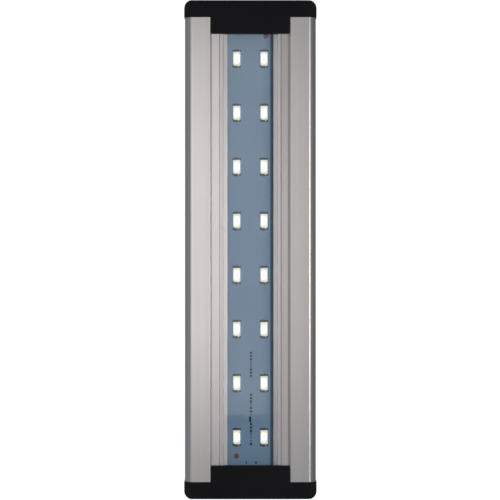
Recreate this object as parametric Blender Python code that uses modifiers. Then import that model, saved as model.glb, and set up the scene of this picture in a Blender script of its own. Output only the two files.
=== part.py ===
"""LED aquarium light: a slim aluminium extrusion with a recessed LED board, closed by two T-shaped caps.

The lamp lies on its back. X runs along it, Y across it, and Z is the way it shines. The origin is the
middle of the flat back. The power inlet is in the cap at -X.
"""

from math import atan2, ceil, cos, degrees, pi, sin, tan

import bmesh
import bpy
from mathutils import Matrix, Vector

MM = 0.001
WELD = 0.002 * MM

# The whole lamp.
LENGTH = 205.0 * MM
WIDTH = 53.9 * MM
HEIGHT = 15.0 * MM
HALF_LENGTH = LENGTH / 2
HALF_WIDTH = WIDTH / 2

# The lit face of the extrusion, as half widths from the middle and drops below the rails.
RAIL_OUTER = 24.6 * MM
RAIL_INNER = 16.4 * MM
RAIL_CHAMFER = HALF_WIDTH - RAIL_OUTER
SHOULDER_RADIUS = 2.6 * MM
RAIL_RADIUS = 1.5 * MM
BACK_RADIUS = 2.0 * MM
LEDGE_OUTER = 16.0 * MM
FOOT_GROOVE_WIDTH = 0.35 * MM
FOOT_GROOVE_DEPTH = 0.4 * MM
LEDGE_INNER = 12.8 * MM
LIP_OUTER = 12.2 * MM
LIP_INNER = 11.1 * MM
BOARD_LIP = 9.4 * MM
LEDGE_OUTER_DROP = 1.6 * MM
LEDGE_INNER_DROP = 1.2 * MM
LIP_DROP = 1.5 * MM
LIP_THICKNESS = 0.8 * MM
VEE_WIDTH = 0.3 * MM
VEE_DEPTH = 0.05 * MM
BOARD_LIP_FALL = 0.4 * MM

# What the extrusion holds, from the lens down to the board's seat.
LENS_THICKNESS = 1.2 * MM
LENS_HALF = 12.45 * MM
LENS_BEVEL = 0.12 * MM
LENS_SLOT_HALF = 13.4 * MM
SLOT_PLAY = 0.1 * MM
BOARD_THICKNESS = 1.2 * MM
BOARD_PLAY = 0.15 * MM
PAD_SPACE = 0.4 * MM
BOARD_HALF = 10.6 * MM
BOARD_SLOT_HALF = 10.8 * MM
BOARD_LIP_THICKNESS = 0.85 * MM
PAD_THICKNESS = 0.25 * MM
PAD_HALF = 9.4 * MM
WEB_THICKNESS = 1.5 * MM
BACK_WALL = 1.9 * MM
SIDE_WALL = 1.9 * MM
SLOT_WALL = 1.4 * MM
RAIL_WALL = 1.6 * MM
RECESS_WALL = 1.0 * MM
CENTRE_TUNNEL_HALF = 9.0 * MM
RIB_THICKNESS = 1.4 * MM

RAIL_Z = HEIGHT
LIP_Z = RAIL_Z - LIP_DROP
LENS_SLOT_TOP = LIP_Z - LIP_THICKNESS
LENS_TOP = LENS_SLOT_TOP - SLOT_PLAY
LENS_SLOT_FLOOR = LENS_TOP - LENS_THICKNESS - SLOT_PLAY
BOARD_LIP_Z = LENS_SLOT_FLOOR - BOARD_LIP_FALL
BOARD_TOP = BOARD_LIP_Z - BOARD_LIP_THICKNESS - BOARD_PLAY
SEAT_Z = BOARD_TOP - BOARD_THICKNESS - PAD_SPACE
WEB_Z = SEAT_Z - WEB_THICKNESS

# Flutes along the back and the sides.
FLUTE_WIDTH = 1.8 * MM
FLUTE_DEPTH = 0.7 * MM
BACK_FLUTE_PITCH = 4.0 * MM
BACK_FLUTES_EACH_SIDE = 5
SIDE_FLUTE_HEIGHTS = (5.6 * MM, 9.2 * MM)
SIDE_FLUTE_DEPTH = 0.5 * MM

# The screw channels, and the screws that hold the caps.
SCREW_Y = 20.4 * MM
SCREW_Z = 7.6 * MM
CHANNEL_RADIUS = 1.5 * MM
CHANNEL_BOSS = 2.6 * MM
HOLE_PLAY = 0.1 * MM
SCREW_RADIUS = 1.3 * MM
SCREW_LENGTH = 12.0 * MM
SCREW_HEAD_RADIUS = 2.4 * MM
SCREW_HEAD_HEIGHT = 1.7 * MM
SCREW_RECESS_DEPTH = 2.2 * MM

# The caps.
FLANGE = 6.9 * MM
TONGUE = 6.9 * MM
CAP_PROUD = 0.3 * MM
CAP_RISE = 0.4 * MM
CAP_CORNER = 3.1 * MM
CAP_EDGE = 0.5 * MM
CAP_WALL = 3.5 * MM
CAP_CHAMFER = 3.2 * MM
CAP_BACK_RADIUS = 2.8 * MM
CAP_TOP_RADIUS = 1.2 * MM
CAP_TOP = HEIGHT + CAP_RISE
CAP_HALF = HALF_WIDTH + CAP_PROUD
TONGUE_HALF = 16.2 * MM
TONGUE_CORNER = 0.7 * MM
TONGUE_GAP = 0.12 * MM
CAP_FACE = HALF_LENGTH - FLANGE
SEAM = 0.1 * MM
BODY_END = CAP_FACE - SEAM
GASKET_THICKNESS = 0.5 * MM
GASKET_RECESS = 0.6 * MM
GASKET_PLAY = 0.15 * MM
POCKET_HALF = 15.5 * MM
POCKET_FLOOR = 2.0 * MM
POCKET_TOP = 12.2 * MM
LUG_LOW = (11.3 * MM, 2.4 * MM)
LUG_HIGH = (16.6 * MM, 6.1 * MM)
LUG_REACH = 4.0 * MM

# The board and its sixteen LEDs.
BOARD_END = 92.2 * MM
RESISTOR_ROOM = 1.4 * MM
BOARD_CORNER = 0.6 * MM
LED_ROWS = 8
LED_PITCH = 22.3 * MM
LED_COLUMN = 5.62 * MM
LED_SHIFT = 0.7 * MM
LED_LENGTH = 5.7 * MM
LED_WIDTH = 3.0 * MM
LED_HEIGHT = 0.85 * MM
LED_FOOTPRINT = 7.0 * MM
PIECE_GAP = 0.05 * MM
RIVETS = ((88.1 * MM, -6.4 * MM), (-85.1 * MM, 5.7 * MM))
RIVET_HOLE = 0.75 * MM

# The power inlet, in the cap at -X. Depths run inwards from the cap's end face.
INLET_Z = 5.4 * MM
INLET_POCKET_RADIUS = 4.1 * MM
INLET_POCKET_DEPTH = 1.9 * MM
THREAD_RADIUS = 2.5 * MM
SHOULDER_DEPTH = 4.3 * MM
INLET_LENGTH = 12.6 * MM
INLET_PLAY = 0.15 * MM
SOCKET_RADIUS = 1.8 * MM
PIN_RADIUS = 0.65 * MM
NOTCH_LENGTH = 6.4 * MM
NOTCH_HALF = 7.3 * MM
NOTCH_CLEARANCE = 0.2 * MM
LEAD_Y = 5.4 * MM

# How far cutters, and the blocks that an outline trims, stand past what they cut.
OVERCUT = 1.0 * MM
PAST = 0.3 * MM

ALONG_X = (pi / 2, 0.0, pi / 2)
TOWARDS_MINUS_X = (0.0, -pi / 2, 0.0)
TOWARDS_PLUS_X = (0.0, pi / 2, 0.0)


# Scene, materials and small tools.


def clear_scene():
    for obj in list(bpy.data.objects):
        bpy.data.objects.remove(obj)


def collection(name, hidden=False):
    group = bpy.data.collections.new(name)
    group.hide_render = hidden
    bpy.context.scene.collection.children.link(group)
    return group


def principled(name, colour, roughness, metallic=0.0, transmission=0.0):
    """A material of one colour (r, g, b), as a Principled BSDF."""
    material = bpy.data.materials.new(name)
    material.use_nodes = True
    shader = material.node_tree.nodes["Principled BSDF"]
    shader.inputs["Base Color"].default_value = (*colour, 1.0)
    shader.inputs["Roughness"].default_value = roughness
    shader.inputs["Metallic"].default_value = metallic
    shader.inputs["Transmission Weight"].default_value = transmission
    material.diffuse_color = (*colour, 1.0)
    return material


def anodised_aluminium():
    return principled("anodised_aluminium", (0.62, 0.61, 0.62), 0.38, metallic=1.0)


def black_plastic():
    return principled("black_plastic", (0.011, 0.011, 0.013), 0.45)


def black_rubber():
    return principled("black_rubber", (0.02, 0.02, 0.02), 0.8)


def clear_acrylic():
    return principled("clear_acrylic", (0.95, 0.97, 0.98), 0.05, transmission=1.0)


def silicone():
    return principled("silicone", (0.75, 0.75, 0.73), 0.6)


def board_lacquer():
    return principled("board_lacquer", (0.155, 0.215, 0.29), 0.4)


def thermal_silicone():
    return principled("thermal_silicone", (0.55, 0.6, 0.62), 0.85)


def led_resin():
    return principled("led_resin", (0.86, 0.86, 0.8), 0.4)


def copper():
    return principled("copper", (0.36, 0.1, 0.075), 0.4, metallic=1.0)


def zinc_steel():
    return principled("zinc_steel", (0.55, 0.55, 0.56), 0.3, metallic=1.0)


def nickel_brass():
    return principled("nickel_brass", (0.62, 0.58, 0.48), 0.25, metallic=1.0)


def solder():
    return principled("solder", (0.55, 0.56, 0.58), 0.28, metallic=1.0)


def resistor_ceramic():
    return principled("resistor_ceramic", (0.03, 0.03, 0.035), 0.5)


def insulation(name, colour):
    return principled(name, colour, 0.45)


def rounded(corners):
    """Points of a closed outline with corners (u, v, radius): each radius becomes an arc."""
    points = []
    for i, (u, v, radius) in enumerate(corners):
        corner = Vector((u, v))
        if radius == 0.0:
            points.append(corner)
            continue
        into = (corner - Vector(corners[i - 1][:2])).normalized()
        out = (Vector(corners[(i + 1) % len(corners)][:2]) - corner).normalized()
        turn = atan2(into.cross(out), into.dot(out))
        reach = radius * tan(abs(turn) / 2)
        towards_centre = Vector((-into.y, into.x)) * (1 if turn > 0 else -1)
        start = corner - into * reach
        centre = start + towards_centre * radius
        finest = 15.0 if radius >= 1.0 * MM else 30.0
        steps = max(1, ceil(degrees(abs(turn)) / finest))
        for k in range(steps + 1):
            points.append(centre + Matrix.Rotation(turn * k / steps, 2) @ (start - centre))
    return points


def mirrored(half):
    """Corners of a whole section from those of its right half, given from bottom to top."""
    return half + [(-u, v, radius) for u, v, radius in reversed(half)]


def circle(u, v, radius, sides=16):
    return [
        Vector((u + radius * cos(2 * pi * k / sides), v + radius * sin(2 * pi * k / sides)))
        for k in range(sides)
    ]


def rectangle(low, high, radius=0.0):
    return rounded([(low[0], low[1], radius), (high[0], low[1], radius),
                    (high[0], high[1], radius), (low[0], high[1], radius)])


def closed_mesh(curve_object):
    """Turns a curve object into a mesh object, with its caps welded to its sides."""
    bpy.context.view_layer.update()
    graph = bpy.context.evaluated_depsgraph_get()
    name = curve_object.name
    matrix = curve_object.matrix_world.copy()
    mesh = bpy.data.meshes.new_from_object(curve_object.evaluated_get(graph))
    bpy.data.objects.remove(curve_object)
    shape = bmesh.new()
    shape.from_mesh(mesh)
    bmesh.ops.remove_doubles(shape, verts=shape.verts, dist=WELD)
    bmesh.ops.recalc_face_normals(shape, faces=shape.faces)
    flat = [face for face in shape.faces if len(face.verts) == 3]
    inner = [edge for edge in shape.edges if all(len(face.verts) == 3 for face in edge.link_faces)]
    bmesh.ops.beautify_fill(shape, faces=flat, edges=inner)
    shape.to_mesh(mesh)
    shape.free()
    obj = bpy.data.objects.new(name, mesh)
    obj.matrix_world = matrix
    return obj


def prism(name, outlines, low, high, rotation=(0.0, 0.0, 0.0), edge=0.0):
    """Flat outlines extruded from low to high along the rotated Z. Inner outlines are holes.

    edge rounds the rims by that radius, outside the outlines.
    """
    curve = bpy.data.curves.new(name, "CURVE")
    curve.dimensions = "2D"
    curve.fill_mode = "BOTH"
    curve.extrude = (high - low) / 2 - edge
    curve.bevel_depth = edge
    curve.bevel_resolution = 1
    for outline in outlines:
        spline = curve.splines.new("POLY")
        spline.points.add(len(outline) - 1)
        for point, place in zip(spline.points, outline):
            point.co = (place[0], place[1], 0.0, 1.0)
        spline.use_cyclic_u = True
    obj = bpy.data.objects.new(name, curve)
    bpy.context.scene.collection.objects.link(obj)
    obj.rotation_euler = rotation
    obj.location = obj.rotation_euler.to_matrix() @ Vector((0.0, 0.0, (low + high) / 2))
    return closed_mesh(obj)


def box(name, low, high, bevel=0.0):
    """A box between two corners, with its edges bevelled."""
    shape = bmesh.new()
    bmesh.ops.create_cube(shape, size=1.0)
    low = Vector(low)
    high = Vector(high)
    for vertex in shape.verts:
        for axis in range(3):
            vertex.co[axis] = high[axis] if vertex.co[axis] > 0.0 else low[axis]
    if bevel:
        bmesh.ops.bevel(shape, geom=shape.edges[:], offset=bevel, segments=1, affect="EDGES")
    mesh = bpy.data.meshes.new(name)
    shape.to_mesh(mesh)
    shape.free()
    return bpy.data.objects.new(name, mesh)


def turned(name, profile, closed, sides=24, location=(0.0, 0.0, 0.0), rotation=(0.0, 0.0, 0.0)):
    """A profile of (radius, height) points turned about the rotated Z, outer side from top to bottom."""
    mesh = bpy.data.meshes.new(name)
    edges = [(k, k + 1) for k in range(len(profile) - 1)]
    if closed:
        edges.append((len(profile) - 1, 0))
    mesh.from_pydata([(radius, 0.0, height) for radius, height in profile], edges, [])
    obj = bpy.data.objects.new(name, mesh)
    screw = obj.modifiers.new("Screw", "SCREW")
    screw.steps = sides
    screw.render_steps = sides
    screw.use_merge_vertices = True
    screw.merge_threshold = WELD
    obj.location = location
    obj.rotation_euler = rotation
    return obj


def combine(obj, other, operation):
    """Joins or cuts obj with other, which becomes a hidden helper."""
    CUTTERS.objects.link(other)
    other.hide_render = True
    other.display_type = "WIRE"
    modifier = obj.modifiers.new(operation.title(), "BOOLEAN")
    modifier.operation = operation
    modifier.object = other


def cut(obj, *others):
    for other in others:
        combine(obj, other, "DIFFERENCE")


def join(obj, *others):
    for other in others:
        combine(obj, other, "UNION")


def place(obj, name, material, smooth=True):
    """Names obj, gives it its material and puts it among the lamp's parts."""
    obj.name = name
    obj.data.materials.clear()
    obj.data.materials.append(material)
    if smooth and obj.type == "MESH":
        obj.data.shade_smooth()
        obj.data.set_sharp_from_angle(angle=pi / 6)
    PARTS.objects.link(obj)
    return obj


def baked(obj):
    """The mesh of obj with its modifiers applied. obj is removed."""
    bpy.context.scene.collection.objects.link(obj)
    bpy.context.view_layer.update()
    graph = bpy.context.evaluated_depsgraph_get()
    mesh = bpy.data.meshes.new_from_object(obj.evaluated_get(graph))
    mesh.transform(obj.matrix_world)
    bpy.data.objects.remove(obj)
    return mesh


def smooth_route(route, steps):
    """Points on a Catmull-Rom curve through the route."""
    ends = [2 * route[0] - route[1], *route, 2 * route[-1] - route[-2]]
    points = []
    for before, start, end, after in zip(ends, ends[1:], ends[2:], ends[3:]):
        for k in range(steps):
            t = k / steps
            points.append(
                (2 * start + (end - before) * t
                 + (2 * before - 5 * start + 4 * end - after) * t ** 2
                 + (3 * start - before - 3 * end + after) * t ** 3) / 2
            )
    points.append(route[-1])
    return points


def tube(name, points, radius):
    curve = bpy.data.curves.new(name, "CURVE")
    curve.dimensions = "3D"
    curve.bevel_depth = radius
    curve.bevel_resolution = 2
    curve.use_fill_caps = True
    spline = curve.splines.new("POLY")
    spline.points.add(len(points) - 1)
    for point, place_at in zip(spline.points, points):
        point.co = (*place_at, 1.0)
    return bpy.data.objects.new(name, curve)


# The extrusion.


def groove(u, v, width, depth, along_v):
    """Corners of a flute whose mouth is centred on (u, v): into +v, or into -u where along_v is set."""
    lip = 0.15 * MM
    root = 0.2 * MM
    shape = [
        (-width / 2, 0.0, lip),
        (-width / 4, depth, root),
        (width / 4, depth, root),
        (width / 2, 0.0, lip),
    ]
    if along_v:
        return [(u - deep, v + across, radius) for across, deep, radius in shape]
    return [(u + across, v + deep, radius) for across, deep, radius in shape]


def housing_outline():
    """The extrusion's outside, drawn from its back round by the rails to the board's seat."""
    crisp = 0.12 * MM
    soft = 0.25 * MM
    foot_groove_floor = RAIL_Z - LEDGE_OUTER_DROP - FOOT_GROOVE_DEPTH
    half = []
    for i in range(BACK_FLUTES_EACH_SIDE):
        half += groove((i + 1) * BACK_FLUTE_PITCH, 0.0, FLUTE_WIDTH, FLUTE_DEPTH, along_v=False)
    half.append((HALF_WIDTH, 0.0, BACK_RADIUS))
    for height in SIDE_FLUTE_HEIGHTS:
        half += groove(HALF_WIDTH, height, FLUTE_WIDTH, SIDE_FLUTE_DEPTH, along_v=True)
    half += [
        (HALF_WIDTH, RAIL_Z - RAIL_CHAMFER, SHOULDER_RADIUS),
        (RAIL_OUTER, RAIL_Z, RAIL_RADIUS),
        (RAIL_INNER, RAIL_Z, soft),
        (LEDGE_OUTER + FOOT_GROOVE_WIDTH, foot_groove_floor, crisp),
        (LEDGE_OUTER, foot_groove_floor, crisp),
        (LEDGE_OUTER, RAIL_Z - LEDGE_OUTER_DROP, crisp),
        (LEDGE_INNER, RAIL_Z - LEDGE_INNER_DROP, crisp),
        (LIP_OUTER + VEE_WIDTH, LIP_Z - VEE_DEPTH, crisp),
        (LIP_OUTER, LIP_Z, soft),
        (LIP_INNER, LIP_Z, soft),
        (LIP_INNER, LENS_SLOT_TOP, crisp),
        (LENS_SLOT_HALF, LENS_SLOT_TOP, crisp),
        (LENS_SLOT_HALF, LENS_SLOT_FLOOR, crisp),
        (LIP_INNER, LENS_SLOT_FLOOR, soft),
        (BOARD_LIP, BOARD_LIP_Z, soft),
        (BOARD_LIP, BOARD_LIP_Z - BOARD_LIP_THICKNESS, crisp),
        (BOARD_SLOT_HALF, BOARD_LIP_Z - BOARD_LIP_THICKNESS, crisp),
        (BOARD_SLOT_HALF, SEAT_Z, crisp),
    ]
    return rounded(mirrored(half))


def side_tunnel(side):
    """The hollow under one rail, with the screw channel's boss standing in from its outer wall."""
    inner = CENTRE_TUNNEL_HALF + RIB_THICKNESS
    outer = HALF_WIDTH - SIDE_WALL
    under_rail = RAIL_Z - RAIL_WALL
    under_ledge = under_rail - 1.2 * MM
    under_slot = LENS_SLOT_FLOOR - SLOT_WALL
    beside_lens = LENS_SLOT_HALF + SLOT_WALL
    beside_board = BOARD_SLOT_HALF + SLOT_WALL
    chamfer = 1.3 * MM
    boss_radius = 2.4 * MM
    soft = 0.5 * MM
    corners = [
        (inner, BACK_WALL, soft),
        (outer, BACK_WALL, 2 * soft),
        (outer, SCREW_Z - CHANNEL_BOSS, soft),
        (SCREW_Y - CHANNEL_BOSS, SCREW_Z - CHANNEL_BOSS, boss_radius),
        (SCREW_Y - CHANNEL_BOSS, SCREW_Z + CHANNEL_BOSS, boss_radius),
        (outer, SCREW_Z + CHANNEL_BOSS, soft),
        (outer, under_rail - chamfer, soft),
        (outer - chamfer, under_rail, soft),
        (RAIL_INNER + RAIL_WALL, under_rail, soft),
        (RAIL_INNER + RECESS_WALL, under_ledge, soft),
        (beside_lens, under_ledge, soft),
        (beside_lens, under_slot, soft),
        (beside_board, under_slot, soft),
        (beside_board, WEB_Z, soft),
        (inner, WEB_Z, soft),
    ]
    return rounded([(side * y, z, radius) for y, z, radius in corners])


def housing():
    tunnel_corner = 0.5 * MM
    centre_tunnel = rectangle(
        (-CENTRE_TUNNEL_HALF, BACK_WALL), (CENTRE_TUNNEL_HALF, WEB_Z), tunnel_corner
    )
    outlines = [
        housing_outline(),
        centre_tunnel,
        side_tunnel(1),
        side_tunnel(-1),
        circle(SCREW_Y, SCREW_Z, CHANNEL_RADIUS),
        circle(-SCREW_Y, SCREW_Z, CHANNEL_RADIUS),
    ]
    body = prism("housing", outlines, -BODY_END, BODY_END, ALONG_X)
    notch = box(
        "inlet_notch",
        (-BODY_END - OVERCUT, -NOTCH_HALF, WEB_Z - OVERCUT),
        (-BODY_END + NOTCH_LENGTH, NOTCH_HALF, SEAT_Z + NOTCH_CLEARANCE),
    )
    cut(body, notch)
    for number, (x, y) in enumerate(RIVETS, 1):
        rim = [circle(x, y, RIVET_HOLE, 12)]
        cut(body, prism(f"housing_rivet_hole_{number}", rim, WEB_Z - OVERCUT, SEAT_Z + OVERCUT))
    place(body, "housing", anodised_aluminium())


# The caps.


def span(side, inner, outer):
    """The ends, low then high, of a stretch between two distances along X on one side of the middle."""
    return sorted((side * inner, side * outer))


def cap_plan(side):
    """The cap's T-shaped outline from above, set in by the radius of its rims."""
    end = HALF_LENGTH - CAP_EDGE
    face = CAP_FACE - 0.5 * PAST + CAP_EDGE
    tip = CAP_FACE - TONGUE + CAP_EDGE
    half_flange = CAP_HALF - CAP_EDGE
    half_tongue = TONGUE_HALF - CAP_EDGE
    corner = CAP_CORNER - CAP_EDGE
    half = [
        (end, half_flange, corner),
        (face, half_flange, 0.0),
        (face, half_tongue, 0.0),
        (tip, half_tongue, TONGUE_CORNER - CAP_EDGE),
    ]
    whole = half + [(x, -y, radius) for x, y, radius in reversed(half)]
    return rounded([(side * x, y, radius) for x, y, radius in whole])


def flange_section():
    """The flange's section: the extrusion's corners, on a block that stands past the plan all round."""
    side = CAP_HALF + PAST
    top = CAP_TOP + PAST
    half = [
        (side, -PAST, CAP_BACK_RADIUS),
        (side, top - CAP_CHAMFER, SHOULDER_RADIUS),
        (side - CAP_CHAMFER, top, CAP_TOP_RADIUS),
    ]
    return rounded(mirrored(half))


def tongue_section():
    """The tongue's section: it fills the recess from just over the ledges and the lens up past the rails."""
    above = CAP_TOP + PAST
    wall_slope = (RAIL_INNER - LEDGE_OUTER) / LEDGE_OUTER_DROP
    over_ledge = RAIL_Z - LEDGE_INNER_DROP + TONGUE_GAP
    foot = RAIL_Z - LEDGE_OUTER_DROP + TONGUE_GAP
    side = LEDGE_OUTER - 0.2 * MM
    half = [
        (LIP_INNER - TONGUE_GAP, LENS_TOP + TONGUE_GAP, 0.0),
        (LIP_INNER - TONGUE_GAP, LIP_Z + TONGUE_GAP, 0.0),
        (LIP_OUTER, LIP_Z + TONGUE_GAP, 0.0),
        (LIP_OUTER + 0.2 * MM, over_ledge, 0.0),
        (LEDGE_INNER, over_ledge, 0.0),
        (side, foot, 0.0),
        (side + wall_slope * (above - foot), above, 0.0),
    ]
    return rounded(mirrored(half))


def gasket_outline(clearance):
    """The gasket's outer edge, grown by a clearance."""
    side = HALF_WIDTH - 1.0 * MM + clearance
    foot = 0.9 * MM - clearance
    top = HEIGHT - 0.9 * MM + clearance
    chamfer = 1.8 * MM
    recess_side = RAIL_INNER + 0.8 * MM - clearance
    over_lens = LENS_TOP - 0.15 * MM + clearance
    half = [
        (side, foot, 1.4 * MM),
        (side, top - chamfer, 0.6 * MM),
        (side - chamfer, top, 0.6 * MM),
        (recess_side, top, 0.3 * MM),
        (recess_side, over_lens, 0.3 * MM),
    ]
    return rounded(mirrored(half))


def end_seal(name, side):
    clearance = 0.3 * MM
    wire_window = rectangle((-8.4 * MM, BACK_WALL), (8.4 * MM, 9.4 * MM), 0.8 * MM)
    outlines = [gasket_outline(0.0), wire_window]
    for half in (1, -1):
        low = (LUG_LOW[0] - clearance, LUG_LOW[1] - clearance)
        high = (LUG_HIGH[0] + clearance, LUG_HIGH[1] + clearance)
        window = [(half * u, v) for u, v in rectangle(low, high, 0.4 * MM)]
        outlines.append(window)
        outlines.append(circle(half * SCREW_Y, SCREW_Z, CHANNEL_RADIUS + HOLE_PLAY, 12))
    near = CAP_FACE + PIECE_GAP
    low, high = span(side, near, near + GASKET_THICKNESS - PIECE_GAP)
    place(prism(name, outlines, low, high, ALONG_X), name, black_rubber())


def end_cap(name, side):
    past_end = HALF_LENGTH + OVERCUT
    past_face = CAP_FACE - OVERCUT
    inner_wall = HALF_LENGTH - CAP_WALL
    cap = prism(name, [flange_section()], *span(side, CAP_FACE, past_end), ALONG_X)
    tongue_reach = span(side, past_face - TONGUE, CAP_FACE + 1.5 * MM)
    join(cap, prism(f"{name}_tongue", [tongue_section()], *tongue_reach, ALONG_X))
    slab = prism(f"{name}_plan", [cap_plan(side)], 0.0, CAP_TOP, edge=CAP_EDGE)
    combine(cap, slab, "INTERSECT")
    recess_reach = span(side, CAP_FACE - OVERCUT / 2, CAP_FACE + GASKET_RECESS)
    cut(cap, prism(f"{name}_gasket_recess", [gasket_outline(GASKET_PLAY)], *recess_reach, ALONG_X))
    pocket = rectangle((-POCKET_HALF, POCKET_FLOOR), (POCKET_HALF, POCKET_TOP), 0.8 * MM)
    cut(cap, prism(f"{name}_pocket", [pocket], *span(side, past_face, inner_wall), ALONG_X))
    for half, word in ((1, "left"), (-1, "right")):
        low, high = span(half, LUG_LOW[0], LUG_HIGH[0])
        near, far = span(side, CAP_FACE - LUG_REACH, inner_wall + OVERCUT / 2)
        join(cap, box(f"{name}_lug_{word}", (near, low, LUG_LOW[1]), (far, high, LUG_HIGH[1]), 0.3 * MM))
        screw_hole = [circle(half * SCREW_Y, SCREW_Z, CHANNEL_RADIUS + HOLE_PLAY)]
        cut(cap, prism(f"{name}_hole_{word}", screw_hole, *span(side, past_face, past_end), ALONG_X))
        head_room = [circle(half * SCREW_Y, SCREW_Z, SCREW_HEAD_RADIUS + 3 * HOLE_PLAY, 24)]
        head_reach = span(side, HALF_LENGTH - SCREW_RECESS_DEPTH, past_end)
        cut(cap, prism(f"{name}_head_{word}", head_room, *head_reach, ALONG_X))
    return cap


def plain_cap():
    place(end_cap("end_cap_plain", 1), "end_cap_plain", black_plastic())


def power_cap():
    """The cap with the inlet's round pocket and hole in its end face."""
    cap = end_cap("end_cap_power", -1)
    past_end = HALF_LENGTH + OVERCUT
    pocket = [circle(0.0, INLET_Z, INLET_POCKET_RADIUS, 32)]
    cut(cap, prism("inlet_pocket", pocket, -past_end, -HALF_LENGTH + INLET_POCKET_DEPTH, ALONG_X))
    hole = [circle(0.0, INLET_Z, THREAD_RADIUS + INLET_PLAY, 24)]
    cut(cap, prism("inlet_hole", hole, -past_end, -HALF_LENGTH + CAP_WALL + OVERCUT, ALONG_X))
    place(cap, "end_cap_power", black_plastic())


def cap_screw_mesh():
    """A pan-head screw with a cross recess. Its Z is the way its head faces, from under the head."""
    head = SCREW_HEAD_HEIGHT
    profile = [
        (0.0, head),
        (0.55 * SCREW_HEAD_RADIUS, 0.93 * head),
        (0.86 * SCREW_HEAD_RADIUS, 0.7 * head),
        (SCREW_HEAD_RADIUS, 0.3 * head),
        (SCREW_HEAD_RADIUS, 0.0),
        (SCREW_RADIUS, 0.0),
        (SCREW_RADIUS, -SCREW_LENGTH + 1.5 * MM),
        (0.35 * SCREW_RADIUS, -SCREW_LENGTH),
        (0.0, -SCREW_LENGTH),
    ]
    screw = turned("cap_screw", profile, closed=False, sides=20)
    arm = 1.35 * MM
    slot = 0.32 * MM
    floor = head - 1.1 * MM
    above = head + OVERCUT
    cut(
        screw,
        box("cross_recess_a", (-arm, -slot, floor), (arm, slot, above)),
        box("cross_recess_b", (-slot, -arm, floor), (slot, arm, above)),
    )
    return baked(screw)


def cap_screws():
    mesh = cap_screw_mesh()
    steel = zinc_steel()
    seat = HALF_LENGTH - SCREW_RECESS_DEPTH + PIECE_GAP
    corners = [(1, 1), (1, -1), (-1, 1), (-1, -1)]
    for number, (end, side) in enumerate(corners, 1):
        screw = bpy.data.objects.new(f"end_cap_screw_{number}", mesh)
        screw.location = (end * seat, side * SCREW_Y, SCREW_Z)
        screw.rotation_euler = TOWARDS_PLUS_X if end > 0 else TOWARDS_MINUS_X
        place(screw, f"end_cap_screw_{number}", steel)


# The lens.


def lens():
    strip = box(
        "lens",
        (-BODY_END, -LENS_HALF, LENS_TOP - LENS_THICKNESS),
        (BODY_END, LENS_HALF, LENS_TOP),
        LENS_BEVEL,
    )
    place(strip, "lens", clear_acrylic(), smooth=False)


def lens_seals():
    radius = 0.33 * MM
    y = (LENS_HALF + LENS_SLOT_HALF) / 2
    z = LENS_TOP - LENS_THICKNESS / 2
    for side, word in ((1, "left"), (-1, "right")):
        ends = [Vector((-BODY_END, side * y, z)), Vector((BODY_END, side * y, z))]
        place(tube(f"lens_seal_{word}", ends, radius), f"lens_seal_{word}", silicone())


# The board and what stands on it.


def board():
    far_end = BOARD_END + RESISTOR_ROOM
    outlines = [rectangle((-BOARD_END, -BOARD_HALF), (far_end, BOARD_HALF), BOARD_CORNER)]
    outlines += [circle(x, y, RIVET_HOLE, 12) for x, y in RIVETS]
    strip = prism("led_board", outlines, BOARD_TOP - BOARD_THICKNESS, BOARD_TOP)
    place(strip, "led_board", board_lacquer())


def thermal_pad():
    clear_of_notch = BODY_END - NOTCH_LENGTH - 0.4 * MM
    outlines = [rectangle((-clear_of_notch, -PAD_HALF), (BOARD_END, PAD_HALF), BOARD_CORNER)]
    outlines += [circle(x, y, RIVET_HOLE, 12) for x, y in RIVETS]
    low = SEAT_Z + (PAD_SPACE - PAD_THICKNESS) / 2
    place(prism("thermal_pad", outlines, low, low + PAD_THICKNESS), "thermal_pad", thermal_silicone())


def led_mesh():
    """A flat white package with a long round-ended cup, on two terminals that stand out at its ends."""
    half = Vector((LED_LENGTH / 2, LED_WIDTH / 2))
    bevel = 0.12 * MM
    mark = 0.5 * MM
    cup_half = Vector((2.15 * MM, 1.05 * MM))
    cup_depth = 0.3 * MM
    package_foot = 0.08 * MM
    outline = [(-half.x, -half.y), (half.x, -half.y), (half.x, half.y), (-half.x + mark, half.y),
               (-half.x, half.y - mark)]
    outline = rounded([(x, y, bevel) for x, y in outline])
    package = prism("led_package", [outline], package_foot, LED_HEIGHT)
    cup = rectangle(-cup_half, cup_half, 0.9 * MM)
    cut(package, prism("led_cup", [cup], LED_HEIGHT - cup_depth, LED_HEIGHT + OVERCUT))
    terminal_half = Vector((LED_FOOTPRINT / 2, 1.0 * MM))
    terminal_root = 1.3 * MM
    terminal_top = 0.26 * MM
    for side, word in ((1, "plus"), (-1, "minus")):
        near, far = span(side, terminal_root, terminal_half.x)
        terminal = box(
            f"led_terminal_{word}", (near, -terminal_half.y, 0.0), (far, terminal_half.y, terminal_top)
        )
        join(package, terminal)
    return baked(package)


def leds():
    mesh = led_mesh()
    resin = led_resin()
    number = 0
    for row in range(LED_ROWS):
        x = LED_SHIFT + LED_PITCH * ((LED_ROWS - 1) / 2 - row)
        for side in (1, -1):
            number += 1
            led = bpy.data.objects.new(f"led_{number:02d}", mesh)
            led.location = (x, side * LED_COLUMN, BOARD_TOP + PIECE_GAP)
            place(led, f"led_{number:02d}", resin)


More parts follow.
